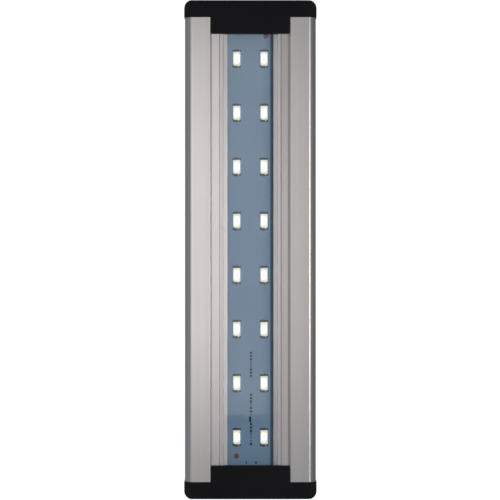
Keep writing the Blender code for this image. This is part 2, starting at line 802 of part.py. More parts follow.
def rivets():
    """Tubular rivets that clamp the board and its pad to the extrusion."""
    head = 1.05 * MM
    crown = 0.72 * MM
    rise = 0.3 * MM
    shank = 0.58 * MM
    bore = 0.36 * MM
    top = BOARD_TOP + PIECE_GAP
    tail = WEB_Z - PIECE_GAP
    metal = copper()
    profile = [
        (crown, top + rise),
        (0.9 * head, top + 0.73 * rise),
        (head, top + 0.27 * rise),
        (head, top),
        (shank, top),
        (shank, tail),
        (head, tail),
        (head, tail - 0.5 * rise),
        (crown, tail - rise),
        (bore, tail - rise),
        (bore, top + 0.53 * rise),
        (bore + 0.4 * rise, top + 0.93 * rise),
    ]
    for number, (x, y) in enumerate(RIVETS, 1):
        rivet = turned(f"board_rivet_{number}", profile, closed=True, sides=16, location=(x, y, 0.0))
        place(rivet, f"board_rivet_{number}", metal)


def resistors():
    """One for each string of LEDs, under the plain cap's tongue."""
    half = Vector((1.6 * MM, 0.8 * MM))
    height = 0.5 * MM
    terminal_length = 0.5 * MM
    base = BOARD_TOP + PIECE_GAP
    proud = 0.04 * MM
    bare_end = 0.1 * MM
    ceramic = resistor_ceramic()
    x = BOARD_END - 1.2 * MM
    for number, side in enumerate((1, -1), 1):
        y = side * 4.4 * MM
        body = box(
            f"resistor_{number}",
            (x - half.y, y - half.x + bare_end, base + proud),
            (x + half.y, y + half.x - bare_end, base + height),
        )
        for end, word in ((1, "near"), (-1, "far")):
            low, high = sorted((y + end * half.x, y + end * (half.x - terminal_length)))
            terminal = box(
                f"resistor_{number}_terminal_{word}",
                (x - half.y - proud, low, base),
                (x + half.y + proud, high, base + height + proud),
            )
            join(body, terminal)
        place(body, f"resistor_{number}", ceramic, smooth=False)


# The power inlet and its wires.


def inlet_body():
    front = -0.3 * MM
    outer = 3.0 * MM
    shoulder = 3.25 * MM
    back = -INLET_LENGTH
    socket_end = -10.2 * MM
    shoulder_back = -SHOULDER_DEPTH - 1.0 * MM
    pin_hole = PIN_RADIUS + 0.12 * MM
    ease = 0.2 * MM
    profile = [
        (THREAD_RADIUS - ease, front),
        (THREAD_RADIUS, front - ease),
        (THREAD_RADIUS, -SHOULDER_DEPTH),
        (shoulder, -SHOULDER_DEPTH),
        (shoulder, shoulder_back),
        (outer, shoulder_back),
        (outer, back),
        (pin_hole, back),
        (pin_hole, socket_end),
        (SOCKET_RADIUS, socket_end),
        (SOCKET_RADIUS, front - ease),
        (SOCKET_RADIUS + ease, front),
    ]
    at = (-HALF_LENGTH, 0.0, INLET_Z)
    body = turned("dc_jack_body", profile, True, 24, at, TOWARDS_MINUS_X)
    place(body, "dc_jack_body", black_plastic())


def inlet_pin():
    tip = -1.2 * MM
    back = -INLET_LENGTH - 1.2 * MM
    profile = [
        (0.0, tip),
        (0.6 * PIN_RADIUS, tip - 0.1 * MM),
        (PIN_RADIUS, tip - 0.45 * MM),
        (PIN_RADIUS, back),
        (0.0, back),
    ]
    at = (-HALF_LENGTH, 0.0, INLET_Z)
    pin = turned("dc_jack_pin", profile, False, 16, at, TOWARDS_MINUS_X)
    place(pin, "dc_jack_pin", nickel_brass())


def inlet_contact():
    """The sleeve contact's solder tag, standing out behind the jack beside the pin."""
    thickness = 0.3 * MM
    half_width = 0.8 * MM
    low = INLET_Z - 2.6 * MM
    high = INLET_Z - 1.0 * MM
    reach = 2.2 * MM
    x = -HALF_LENGTH + INLET_LENGTH + thickness
    tag = box("dc_jack_contact", (x, -half_width, low), (x + thickness, half_width, high))
    tail = box(
        "dc_jack_contact_tail",
        (x + thickness / 3, -half_width, low),
        (x + reach, half_width, low + thickness),
    )
    join(tag, tail)
    place(tag, "dc_jack_contact", nickel_brass(), smooth=False)


def inlet_nut():
    across_corners = 3.75 * MM
    depth = 0.2 * MM
    thread = circle(0.0, INLET_Z, THREAD_RADIUS + HOLE_PLAY, 24)
    outlines = [circle(0.0, INLET_Z, across_corners, 6), thread]
    near = -HALF_LENGTH + depth
    nut = prism("dc_jack_nut", outlines, near, -HALF_LENGTH + INLET_POCKET_DEPTH - PIECE_GAP, ALONG_X)
    place(nut, "dc_jack_nut", nickel_brass())


def inlet_seal():
    outer = 3.2 * MM
    inner = THREAD_RADIUS + INLET_PLAY
    outlines = [circle(0.0, INLET_Z, outer, 24), circle(0.0, INLET_Z, inner, 24)]
    near = -HALF_LENGTH + CAP_WALL + PIECE_GAP
    seal = prism("dc_jack_seal", outlines, near, -HALF_LENGTH + SHOULDER_DEPTH - PIECE_GAP, ALONG_X)
    place(seal, "dc_jack_seal", black_rubber())


def solder_joints():
    """A dome over each lead wire's pad, under the power cap's tongue."""
    base = BOARD_TOP + PIECE_GAP
    radius = 0.9 * MM
    rise = 0.5 * MM
    profile = [
        (0.0, base + rise),
        (0.5 * radius, base + 0.84 * rise),
        (0.8 * radius, base + 0.44 * rise),
        (radius, base),
        (0.0, base),
    ]
    tin = solder()
    for side, word in ((1, "positive"), (-1, "negative")):
        at = (-BOARD_END + 1.6 * MM, side * LEAD_Y, 0.0)
        place(turned(f"solder_joint_{word}", profile, False, 16, at), f"solder_joint_{word}", tin)


def lead_wires():
    """From behind the inlet, round the end of the board and down to their solder joints."""
    radius = 0.5 * MM
    over_board = BOARD_TOP + radius + 0.1 * MM
    behind = -HALF_LENGTH + INLET_LENGTH
    red = insulation("red_insulation", (0.45, 0.015, 0.012))
    black = insulation("black_insulation", (0.012, 0.012, 0.012))
    board_end = -BOARD_END
    for side, word, z, start, material in (
        (1, "positive", INLET_Z, 2.0 * MM, red),
        (-1, "negative", INLET_Z - 1.3 * MM, 3.1 * MM, black),
    ):
        route = [
            Vector((behind + start, 0.0, z)),
            Vector((behind + start + 0.6 * MM, side * 1.6 * MM, z - 0.1 * MM)),
            Vector((behind + 1.6 * MM, side * 4.2 * MM, z - 0.3 * MM)),
            Vector((behind - 1.2 * MM, side * 5.3 * MM, 4.6 * MM)),
            Vector((board_end - 0.9 * MM, side * 5.5 * MM, 6.2 * MM)),
            Vector((board_end - 1.5 * MM, side * 5.5 * MM, 8.4 * MM)),
            Vector((board_end - 0.9 * MM, side * 5.45 * MM, over_board - 0.1 * MM)),
            Vector((board_end + 0.35 * MM, side * LEAD_Y, over_board)),
        ]
        wire = tube(f"wire_{word}", smooth_route(route, 3), radius)
        place(wire, f"wire_{word}", material)


clear_scene()
PARTS = collection("led_aquarium_light")
CUTTERS = collection("cutters", hidden=True)
housing()
plain_cap()
power_cap()
end_seal("end_seal_plain", 1)
end_seal("end_seal_power", -1)
cap_screws()
lens()
lens_seals()
board()
thermal_pad()
leds()
rivets()
resistors()
inlet_body()
inlet_pin()
inlet_contact()
inlet_nut()
inlet_seal()
solder_joints()
lead_wires()
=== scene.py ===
"""The looks of the LED aquarium light: fine parts, materials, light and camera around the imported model.

The lamp lies on its back. X runs along it, Y across it, and Z is the way it shines. The power inlet is
in the cap at -X. Everything is in metres.
"""

from math import cos, pi, radians, sin

import bmesh
import bpy
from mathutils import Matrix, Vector


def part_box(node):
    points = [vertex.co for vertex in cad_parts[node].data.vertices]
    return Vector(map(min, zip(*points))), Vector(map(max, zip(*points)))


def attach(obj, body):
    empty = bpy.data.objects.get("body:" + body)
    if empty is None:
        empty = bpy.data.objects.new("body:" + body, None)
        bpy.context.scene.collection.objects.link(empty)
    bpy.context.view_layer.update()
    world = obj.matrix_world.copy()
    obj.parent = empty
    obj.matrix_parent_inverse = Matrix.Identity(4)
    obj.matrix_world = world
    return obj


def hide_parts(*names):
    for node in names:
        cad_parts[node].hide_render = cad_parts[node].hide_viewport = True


MM = 0.001

# Corners closer than this are one corner, and faces nearer to level than this are one face.
WELD = 0.002 * MM
FLAT_ANGLE = radians(0.5)

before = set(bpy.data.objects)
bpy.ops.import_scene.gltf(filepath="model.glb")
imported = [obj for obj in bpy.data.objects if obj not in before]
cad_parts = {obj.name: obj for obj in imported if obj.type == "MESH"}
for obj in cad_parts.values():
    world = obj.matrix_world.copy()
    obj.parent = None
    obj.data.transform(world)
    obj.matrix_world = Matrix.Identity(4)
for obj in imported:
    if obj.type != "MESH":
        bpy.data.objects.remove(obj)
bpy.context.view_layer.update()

# Where things are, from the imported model.
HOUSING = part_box("housing")
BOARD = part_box("led_board")
BOARD_TOP = BOARD[1].z
LEDS = [f"led_{number:02d}" for number in range(1, 17)]
RIVETS = ["board_rivet_1", "board_rivet_2"]

# An LED's parts, around the middle of its footprint on the board.
LED_HALF = Vector((2.85 * MM, 1.5 * MM))
LED_CUP = Vector((2.15 * MM, 1.05 * MM))
LED_CUP_RADIUS = 0.9 * MM
LED_CUP_DEPTH = 0.3 * MM
LED_CUP_BRIM = 0.05 * MM
LED_CUP_SLANT = 0.25 * MM
LED_FOOT = 0.08 * MM
LED_MARK = 0.5 * MM
TERMINAL_HALF = Vector((3.5 * MM, 1.0 * MM))
TERMINAL_TOP = 0.24 * MM

# The floor is a hair under the lamp, so that their faces don't coincide.
FLOOR_DROP = 0.05 * MM

COPPER_THICKNESS = 0.03 * MM
INK_THICKNESS = 0.012 * MM
INK_GAP = 0.003 * MM
INK_RIM = 0.004 * MM


# Small tools for meshes.


def mesh_object(name, shape, materials, smooth_angle=35.0):
    """A new object of this bmesh, smooth-shaded up to an angle in degrees, and in the scene."""
    bmesh.ops.recalc_face_normals(shape, faces=shape.faces)
    mesh = bpy.data.meshes.new(name)
    shape.to_mesh(mesh)
    shape.free()
    for material in materials:
        mesh.materials.append(material)
    mesh.shade_smooth()
    mesh.set_sharp_from_angle(angle=radians(smooth_angle))
    obj = bpy.data.objects.new(name, mesh)
    bpy.context.scene.collection.objects.link(obj)
    return obj


def fasten(obj, slot, *replaced):
    """Puts a piece on the lamp's one body and hides the CAD nodes that it stands for. slot is not used."""
    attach(obj, "root")
    if replaced:
        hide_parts(*replaced)
    return obj


def rounded_rectangle(half, radius, steps=6, cut=0.0):
    """Points round a rectangle about the origin. The corner at -x, +y is cut straight where cut is set."""
    points = []
    for quarter, (sx, sy) in enumerate(((1, 1), (-1, 1), (-1, -1), (1, -1))):
        straight = cut > 0.0 and quarter == 1
        reach = cut if straight else radius
        centre = Vector((sx * (half.x - reach), sy * (half.y - reach)))
        start = quarter * pi / 2
        first = centre + reach * Vector((cos(start), sin(start)))
        last = centre + reach * Vector((cos(start + pi / 2), sin(start + pi / 2)))
        for k in range(steps + 1):
            if straight:
                points.append(first.lerp(last, k / steps))
            else:
                turn = start + pi / 2 * k / steps
                points.append(centre + reach * Vector((cos(turn), sin(turn))))
    return points


def loft(shape, rings, at=(0.0, 0.0, 0.0)):
    """Skins rings of (points, height) from first to last and closes both ends. All have as many points."""
    at = Vector(at)
    loops = [
        [shape.verts.new(at + Vector((point.x, point.y, height))) for point in points]
        for points, height in rings
    ]
    count = len(loops[0])
    for low, high in zip(loops, loops[1:]):
        for k in range(count):
            after = (k + 1) % count
            shape.faces.new((low[k], low[after], high[after], high[k]))
    shape.faces.new(list(reversed(loops[0])))
    shape.faces.new(loops[-1])


def plate(shape, low, high, rim=0.0):
    """A thin upright-sided plate between two corners, with its top edge eased by rim."""
    centre = (Vector(low) + Vector(high)) / 2
    half = (Vector(high) - Vector(low)) / 2
    radius = min(half.x, half.y) * 0.3
    outer = rounded_rectangle(half, radius, 2)
    inner = rounded_rectangle(Vector((half.x - rim, half.y - rim)), max(radius - rim, 0.2 * radius), 2)
    base = Vector((centre.x, centre.y, 0.0))
    loft(shape, [(outer, low[2]), (outer, high[2] - rim), (inner, high[2])], base)


def refined(node, name, slot, material, edge=0.0, edge_angle=50.0, smooth_angle=46.0):
    """The CAD node's solid with its corners shared, its sharp edges rounded and its curves smooth."""
    shape = bmesh.new()
    shape.from_mesh(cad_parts[node].data)
    bmesh.ops.remove_doubles(shape, verts=shape.verts, dist=WELD)
    bmesh.ops.dissolve_limit(shape, angle_limit=FLAT_ANGLE, verts=shape.verts, edges=shape.edges)
    obj = mesh_object(name, shape, [material], smooth_angle)
    loaded_normals = obj.data.attributes.get("custom_normal")
    if loaded_normals:
        obj.data.attributes.remove(loaded_normals)
    if edge:
        bevel = obj.modifiers.new("Rounded edges", "BEVEL")
        bevel.width = edge
        bevel.segments = 2
        bevel.limit_method = "ANGLE"
        bevel.angle_limit = radians(edge_angle)
        bevel.use_clamp_overlap = True
        bevel.harden_normals = False
    normals = obj.modifiers.new("Face-weighted normals", "WEIGHTED_NORMAL")
    normals.keep_sharp = True
    normals.weight = 100
    return fasten(obj, slot, node)


# Small tools for materials.


class Shader:
    """A material with a Principled BSDF, whose nodes are added and linked by name."""

    def __init__(self, name, colour, roughness, metallic=0.0, specular=0.5):
        self.material = bpy.data.materials.new(name)
        self.material.use_nodes = True
        self.tree = self.material.node_tree
        self.surface = self.tree.nodes["Principled BSDF"]
        self.output = self.tree.nodes["Material Output"]
        self.surface.inputs["Base Color"].default_value = (*colour, 1.0)
        self.surface.inputs["Roughness"].default_value = roughness
        self.surface.inputs["Metallic"].default_value = metallic
        self.surface.inputs["Specular IOR Level"].default_value = specular
        self.place = self.add("ShaderNodeTexCoord").outputs["Object"]

    def add(self, kind, sockets=None, **settings):
        """A node of this kind. sockets holds values or links for its inputs."""
        node = self.tree.nodes.new(kind)
        for key, value in settings.items():
            setattr(node, key, value)
        for key, value in (sockets or {}).items():
            self.feed(node.inputs[key], value)
        return node

    def feed(self, socket, value):
        """Links value to the socket if it is another node's socket, or else sets it."""
        if isinstance(value, bpy.types.NodeSocket):
            self.tree.links.new(value, socket)
        else:
            socket.default_value = value

    def stretched(self, scale):
        """Object coordinates in units of 1 / scale, by axis."""
        return self.add("ShaderNodeMapping", {"Vector": self.place, "Scale": scale}).outputs["Vector"]

    def noise(self, scale, detail=3.0, roughness=0.55, vector=None):
        """Noise from 0 to 1, in object coordinates unless a vector is given."""
        sockets = {"Vector": vector or self.place, "Scale": scale, "Detail": detail, "Roughness": roughness}
        return self.add("ShaderNodeTexNoise", sockets).outputs["Fac"]

    def ramp(self, value, low, high, start=0.0, end=1.0):
        """value from start..end to low..high, clamped."""
        sockets = {"Value": value, "From Min": start, "From Max": end, "To Min": low, "To Max": high}
        return self.add("ShaderNodeMapRange", sockets).outputs["Result"]

    def mix(self, share, first, second):
        """A mix of two colours."""
        node = self.add("ShaderNodeMix", data_type="RGBA")
        self.feed(node.inputs[0], share)
        for socket, value in ((node.inputs[6], first), (node.inputs[7], second)):
            self.feed(socket, (*value, 1.0) if isinstance(value, tuple) else value)
        return node.outputs[2]

    def maths(self, operation, *values):
        """The result of one Math node."""
        node = self.add("ShaderNodeMath", operation=operation)
        for socket, value in zip(node.inputs, values):
            self.feed(socket, value)
        return node.outputs[0]

    def bump(self, height, distance, strength=1.0, normal=None):
        """A normal raised by a height from 0 to 1, over another normal if one is given."""
        sockets = {"Height": height, "Distance": distance, "Strength": strength}
        if normal:
            sockets["Normal"] = normal
        return self.add("ShaderNodeBump", sockets).outputs["Normal"]

    def wear(self, amount=1.0):
        """0 on faces square to an axis, rising to amount on the edges and corners between them."""
        facing = self.add("ShaderNodeTexCoord").outputs["Normal"]
        split = self.add("ShaderNodeSeparateXYZ", {"Vector": facing})
        x, y, z = (self.maths("ABSOLUTE", split.outputs[axis]) for axis in "XYZ")
        squarest = self.maths("MAXIMUM", self.maths("MAXIMUM", x, y), z)
        return self.ramp(squarest, amount, 0.0, 0.86, 0.98)

    def set(self, name, value):
        """Sets or links one of the surface's inputs."""
        self.feed(self.surface.inputs[name], value)


# Materials.


def aluminium():
    """Clear-anodised extrusion: fine die lines along X over a satin etch, duller round its outer corners.

    Lower surfaces, down in the recess, are coloured darker and pinker than the rails: painted shade, with a
    pink tint.
    """
    paint = Shader("anodised_aluminium", (0.6, 0.58, 0.57), 0.38, metallic=1.0)
    lines = paint.noise(1.0, 4.0, 0.7, paint.stretched((6.0, 2600.0, 2600.0)))
    bands = paint.noise(1.0, 2.0, 0.5, paint.stretched((3.0, 420.0, 420.0)))
    etch = paint.noise(9000.0, 2.0)
    cloud = paint.noise(60.0, 3.0)
    split = paint.add("ShaderNodeSeparateXYZ", {"Vector": paint.place})
    ledge_height = 13.9 * MM
    rail_height = 14.8 * MM
    # Painted shade: below the rails the colour darkens and turns pinker with depth, standing in for the
    # shade in the recess.
    recess_shade_and_film = paint.ramp(split.outputs["Z"], 0.1, 0.75, ledge_height, rail_height)
    recess_shade_and_film = paint.maths("ADD", recess_shade_and_film, paint.ramp(bands, -0.2, 0.2, 0.3, 0.7))
    shaded_pinkish = (0.61, 0.56, 0.56)
    straw = (0.685, 0.648, 0.618)
    line_grey = (0.48, 0.46, 0.455)
    tone = paint.mix(recess_shade_and_film, shaded_pinkish, straw)
    tone = paint.mix(paint.ramp(lines, 0.0, 0.22, 0.4, 0.75), tone, line_grey)
    paint.set("Base Color", tone)
    rough = paint.maths("ADD", paint.ramp(lines, 0.29, 0.4), paint.ramp(cloud, -0.03, 0.03))
    rail_edge = 24.2 * MM
    turned_down = 24.7 * MM
    from_middle = paint.maths("ABSOLUTE", split.outputs["Y"])
    rough = paint.maths("ADD", rough, paint.ramp(from_middle, 0.0, 0.14, rail_edge, turned_down))
    paint.set("Roughness", rough)
    grain = paint.bump(etch, 0.004 * MM, 0.25)
    paint.set("Normal", paint.bump(lines, 0.008 * MM, 0.35, grain))
    return paint.material


def cap_plastic():
    """Black ABS from a spark-eroded mould, a little shinier where it has been handled."""
    paint = Shader("satin_black_abs", (0.005, 0.005, 0.006), 0.5, specular=0.12)
    texture = paint.noise(4200.0, 2.0, 0.6)
    handled = paint.noise(55.0, 3.0)
    scuffs = paint.noise(1.0, 5.0, 0.75, paint.stretched((260.0, 60.0, 260.0)))
    deep = (0.0042, 0.0042, 0.005)
    polished = (0.0066, 0.0066, 0.0076)
    worn = (0.03, 0.03, 0.032)
    scuffed = (0.02, 0.02, 0.021)
    tone = paint.mix(paint.ramp(handled, 0.0, 1.0, 0.3, 0.7), deep, polished)
    tone = paint.mix(paint.wear(0.14), tone, worn)
    tone = paint.mix(paint.ramp(scuffs, 0.0, 0.35, 0.68, 0.8), tone, scuffed)
    rough = paint.maths("ADD", paint.ramp(handled, 0.42, 0.54), paint.ramp(texture, -0.05, 0.05))
    paint.set("Base Color", tone)
    paint.set("Roughness", rough)
    paint.set("Normal", paint.bump(texture, 0.012 * MM, 0.45))
    return paint.material


def jack_plastic():
    """Glass-filled nylon of the inlet, with short pale fibres under its skin."""
    paint = Shader("inlet_nylon", (0.008, 0.008, 0.009), 0.42, specular=0.35)
    fibres = paint.noise(1.0, 2.0, 0.6, paint.stretched((2500.0, 9000.0, 9000.0)))
    nylon = (0.007, 0.007, 0.008)
    glass = (0.03, 0.03, 0.03)
    paint.set("Base Color", paint.mix(paint.ramp(fibres, 0.0, 0.6, 0.62, 0.75), nylon, glass))
    paint.set("Roughness", paint.ramp(fibres, 0.36, 0.5))
    paint.set("Normal", paint.bump(fibres, 0.006 * MM, 0.4))
    return paint.material


def rubber():
    """Black rubber with a patchy pale bloom."""
    paint = Shader("gasket_rubber", (0.02, 0.02, 0.02), 0.8, specular=0.3)
    bloom = paint.noise(900.0, 4.0)
    clean = (0.014, 0.014, 0.014)
    bloomed = (0.035, 0.035, 0.034)
    paint.set("Base Color", paint.mix(paint.ramp(bloom, 0.0, 1.0, 0.35, 0.7), clean, bloomed))
    paint.set("Roughness", paint.ramp(bloom, 0.7, 0.9))
    paint.set("Normal", paint.bump(paint.noise(5000.0), 0.01 * MM, 0.5))
    return paint.material


def silicone():
    """Milky silicone cord."""
    paint = Shader("silicone", (0.72, 0.73, 0.72), 0.5, specular=0.4)
    haze = paint.noise(700.0, 3.0)
    paint.set("Base Color", paint.mix(haze, (0.66, 0.67, 0.66), (0.78, 0.79, 0.78)))
    paint.set("Roughness", paint.ramp(haze, 0.42, 0.62))
    paint.set("Normal", paint.bump(haze, 0.01 * MM, 0.3))
    return paint.material


def thermal_pad():
    """A filled silicone sheet, with the print of its woven carrier."""
    paint = Shader("thermal_silicone", (0.5, 0.56, 0.6), 0.85)
    weave_x = paint.add("ShaderNodeTexWave", {"Vector": paint.place, "Scale": 900.0}, bands_direction="X")
    weave_y = paint.add("ShaderNodeTexWave", {"Vector": paint.place, "Scale": 900.0}, bands_direction="Y")
    weave = paint.maths("MULTIPLY", weave_x.outputs["Fac"], weave_y.outputs["Fac"])
    filler = paint.noise(3500.0, 4.0)
    paint.set("Base Color", paint.mix(filler, (0.42, 0.49, 0.53), (0.58, 0.63, 0.66)))
    paint.set("Roughness", paint.ramp(filler, 0.78, 0.92))
    paint.set("Normal", paint.bump(weave, 0.02 * MM, 0.5))
    return paint.material


def steel():
    """Zinc-plated steel with the faint blue and straw tints of its passivation."""
    paint = Shader("zinc_plated_steel", (0.6, 0.61, 0.63), 0.3, metallic=1.0)
    tint = paint.noise(420.0, 3.0)
    crystals = paint.noise(7000.0, 3.0)
    tone = paint.mix(paint.ramp(tint, 0.0, 1.0, 0.35, 0.65), (0.52, 0.56, 0.62), (0.66, 0.63, 0.56))
    paint.set("Base Color", paint.mix(paint.wear(0.7), tone, (0.8, 0.8, 0.8)))
    paint.set("Roughness", paint.ramp(crystals, 0.22, 0.42))
    paint.set("Normal", paint.bump(crystals, 0.008 * MM, 0.3))
    return paint.material


def nickel():
    """Turned brass under nickel."""
    paint = Shader("nickel_plated_brass", (0.66, 0.62, 0.54), 0.22, metallic=1.0)
    turning = paint.noise(1.0, 3.0, 0.6, paint.stretched((9000.0, 500.0, 500.0)))
    paint.set("Base Color", paint.mix(turning, (0.6, 0.56, 0.48), (0.74, 0.71, 0.64)))
    paint.set("Roughness", paint.ramp(turning, 0.16, 0.34))
    paint.set("Normal", paint.bump(turning, 0.006 * MM, 0.3))
    return paint.material


def copper():
    """Bare copper gone red-brown, brighter where it was rolled over."""
    paint = Shader("tarnished_copper", (0.3, 0.1, 0.09), 0.42, metallic=1.0)
    patina = paint.noise(1800.0, 4.0)
    tone = paint.mix(paint.ramp(patina, 0.0, 1.0, 0.3, 0.7), (0.2, 0.045, 0.055), (0.33, 0.095, 0.1))
    paint.set("Base Color", paint.mix(paint.wear(0.3), tone, (0.5, 0.22, 0.21)))
    paint.set("Roughness", paint.ramp(patina, 0.34, 0.6))
    paint.set("Normal", paint.bump(patina, 0.01 * MM, 0.4))
    return paint.material


def solder():
    """Bright hand-made solder, grained by its crystals."""
    paint = Shader("solder", (0.5, 0.51, 0.53), 0.26, metallic=1.0)
    dendrites = paint.noise(5200.0, 4.0, 0.65)
    dull = (0.36, 0.37, 0.39)
    bright = (0.62, 0.63, 0.65)
    paint.set("Base Color", paint.mix(paint.ramp(dendrites, 0.0, 1.0, 0.3, 0.7), dull, bright))
    paint.set("Roughness", paint.ramp(dendrites, 0.18, 0.42))
    paint.set("Normal", paint.bump(dendrites, 0.012 * MM, 0.5))
    return paint.material


def reflowed_solder():
    """The LEDs' joints: dull dark solder and flux, with small bright spots where it wetted well."""
    paint = Shader("reflowed_solder", (0.08, 0.085, 0.09), 0.35, metallic=0.8)
    pools = paint.noise(1500.0, 3.0, 0.6)
    crystals = paint.noise(6000.0, 3.0)
    dull = paint.mix(crystals, (0.03, 0.034, 0.038), (0.09, 0.095, 0.1))
    paint.set("Base Color", paint.mix(paint.ramp(pools, 0.0, 1.0, 0.52, 0.62), dull, (0.62, 0.63, 0.62)))
    paint.set("Roughness", paint.ramp(pools, 0.5, 0.22, 0.45, 0.65))
    paint.set("Normal", paint.bump(crystals, 0.012 * MM, 0.5))
    return paint.material


def solder_mask():
    """Blue-grey lacquer with the soft ripple of a printed coat."""
    paint = Shader("board_lacquer", (0.17, 0.235, 0.31), 0.36, specular=0.4)
    ripple = paint.noise(1300.0, 3.0, 0.6)
    cloud = paint.noise(45.0, 4.0)
    dust = paint.add("ShaderNodeTexVoronoi", {"Vector": paint.place, "Scale": 520.0}).outputs["Distance"]
    deep = (0.175, 0.296, 0.444)
    pale = (0.21, 0.332, 0.48)
    tone = paint.mix(paint.ramp(cloud, 0.0, 1.0, 0.3, 0.7), deep, pale)
    dusty = (0.4, 0.46, 0.52)
    tone = paint.mix(paint.ramp(dust, 0.3, 0.0, 0.0, 0.09), tone, dusty)
    rough = paint.maths("ADD", paint.ramp(ripple, 0.3, 0.42), paint.ramp(cloud, -0.04, 0.04))
    paint.set("Base Color", tone)
    paint.set("Roughness", rough)
    paint.set("Normal", paint.bump(ripple, 0.01 * MM, 0.35))
    return paint.material


def ink(name, dense, thin):
    """Screen ink, a little thin and open in its print."""
    paint = Shader(name, dense, 0.6, specular=0.15)
    open_print = paint.noise(9000.0, 2.0)
    paint.set("Base Color", paint.mix(paint.ramp(open_print, 0.0, 0.5, 0.62, 0.75), dense, thin))
    paint.set("Roughness", paint.ramp(open_print, 0.5, 0.7))
    paint.set("Normal", paint.bump(open_print, 0.004 * MM, 0.5))
    return paint.material


def led_resin():
    """White LED resin, a little yellowed, with the lit cup's light coming through it."""
    paint = Shader("led_resin", (0.83, 0.83, 0.78), 0.38)
    flow = paint.noise(2600.0, 3.0)
    paint.set("Base Color", paint.mix(flow, (0.8, 0.79, 0.72), (0.87, 0.87, 0.83)))
    paint.set("Roughness", paint.ramp(flow, 0.3, 0.48))
    paint.set("Normal", paint.bump(flow, 0.006 * MM, 0.35))
    paint.set("Emission Color", paint.mix(flow, (0.93, 0.95, 0.8), (1.0, 1.0, 0.92)))
    through_light = 0.32
    paint.set("Emission Strength", through_light)
    return paint.material


def phosphor():
    """The lit phosphor: white over the chips in its middle, pale yellow-green towards its ends."""
    paint = Shader("lit_phosphor", (0.85, 0.83, 0.45), 0.5)
    generated = paint.add("ShaderNodeTexCoord").outputs["Generated"]
    centred = paint.add("ShaderNodeVectorMath", operation="SUBTRACT")
    paint.feed(centred.inputs[0], generated)
    centred.inputs[1].default_value = (0.5, 0.5, 0.5)
    flattened = paint.add("ShaderNodeMapping", {"Vector": centred.outputs[0], "Scale": (2.0, 1.1, 0.0)})
    length = paint.add("ShaderNodeVectorMath", operation="LENGTH")
    paint.feed(length.inputs[0], flattened.outputs["Vector"])
    away = length.outputs["Value"]
    grains = paint.noise(6500.0, 2.0)
    glow = paint.mix(paint.ramp(away, 0.0, 1.0, 0.35, 0.95), (1.0, 1.0, 0.98), (0.8, 0.86, 0.5))
    peak = paint.maths("POWER", paint.ramp(away, 1.0, 0.0, 0.15, 1.15), 2.2)
    over_chips = 9.0
    at_ends = 0.5
    strength = paint.maths("MULTIPLY_ADD", peak, over_chips, at_ends)
    strength = paint.maths("MULTIPLY", strength, paint.ramp(grains, 0.9, 1.1))
    paint.set("Base Color", paint.mix(grains, (0.82, 0.78, 0.36), (0.88, 0.86, 0.5)))
    paint.set("Emission Color", glow)
    paint.set("Emission Strength", strength)
    paint.set("Normal", paint.bump(grains, 0.008 * MM, 0.4))
    return paint.material


def ceramic():
    """The black glaze of a chip resistor."""
    paint = Shader("resistor_ceramic", (0.03, 0.03, 0.035), 0.5)
    glaze = paint.noise(4000.0, 3.0)
    paint.set("Base Color", paint.mix(glaze, (0.018, 0.018, 0.022), (0.045, 0.045, 0.05)))
    paint.set("Roughness", paint.ramp(glaze, 0.4, 0.6))
    paint.set("Normal", paint.bump(glaze, 0.006 * MM, 0.4))
    return paint.material


def insulation(name, colour):
    """Extruded PVC over a stranded wire, whose lay shows through as a faint ripple."""
    paint = Shader(name, colour, 0.42)
    lay = paint.noise(1500.0, 3.0)
    lighter = tuple(min(1.0, 1.5 * part + 0.01) for part in colour)
    paint.set("Base Color", paint.mix(lay, colour, lighter))
    paint.set("Roughness", paint.ramp(lay, 0.34, 0.52))
    paint.set("Normal", paint.bump(lay, 0.015 * MM, 0.4))
    return paint.material


def acrylic():
    """Clear sheet: what is behind shows straight through, with a faint gloss and fine rub marks."""
    paint = Shader("clear_acrylic", (0.97, 0.985, 1.0), 0.05, metallic=1.0)
    rubbed = paint.noise(1.0, 5.0, 0.7, paint.stretched((40.0, 900.0, 900.0)))
    paint.set("Roughness", paint.ramp(rubbed, 0.03, 0.12, 0.45, 0.75))
    paint.set("Normal", paint.bump(paint.noise(120.0, 2.0), 0.02 * MM, 0.15))
    clear = paint.add("ShaderNodeBsdfTransparent", {"Color": (0.951, 0.956, 0.958, 1.0)})
    head_on_share = 0.034
    glancing_share = 0.96
    turned = paint.add("ShaderNodeLayerWeight", {"Blend": 0.5}).outputs["Facing"]
    gloss = paint.maths("MULTIPLY_ADD", paint.maths("POWER", turned, 5.0), glancing_share, head_on_share)
    sheet = paint.add("ShaderNodeMixShader")
    paint.feed(sheet.inputs[0], gloss)
    paint.feed(sheet.inputs[1], clear.outputs[0])
    paint.feed(sheet.inputs[2], paint.surface.outputs[0])
    paint.feed(paint.output.inputs["Surface"], sheet.outputs[0])
    return paint.material


MATERIALS = {
    "aluminium": aluminium(),
    "cap": cap_plastic(),
    "jack": jack_plastic(),
    "rubber": rubber(),
    "silicone": silicone(),
    "pad": thermal_pad(),
    "steel": steel(),
    "nickel": nickel(),
    "copper": copper(),
    "solder": solder(),
    "reflowed": reflowed_solder(),
    "mask": solder_mask(),
    "ink": ink("screen_ink", (0.004, 0.006, 0.009), (0.03, 0.045, 0.06)),
    # Painted shadow: this dark blue stands for the lip's shadow along the board's -Y edge.
    "lip shadow blue": ink("lip_shadow_blue_paint", (0.058, 0.1, 0.152), (0.08, 0.135, 0.2)),
    "resin": led_resin(),
    "phosphor": phosphor(),
    "ceramic": ceramic(),
    "red": insulation("red_insulation", (0.4, 0.012, 0.01)),
    "black": insulation("black_insulation", (0.01, 0.01, 0.01)),
    "acrylic": acrylic(),
}


# The lamp's casing, fasteners and inlet.


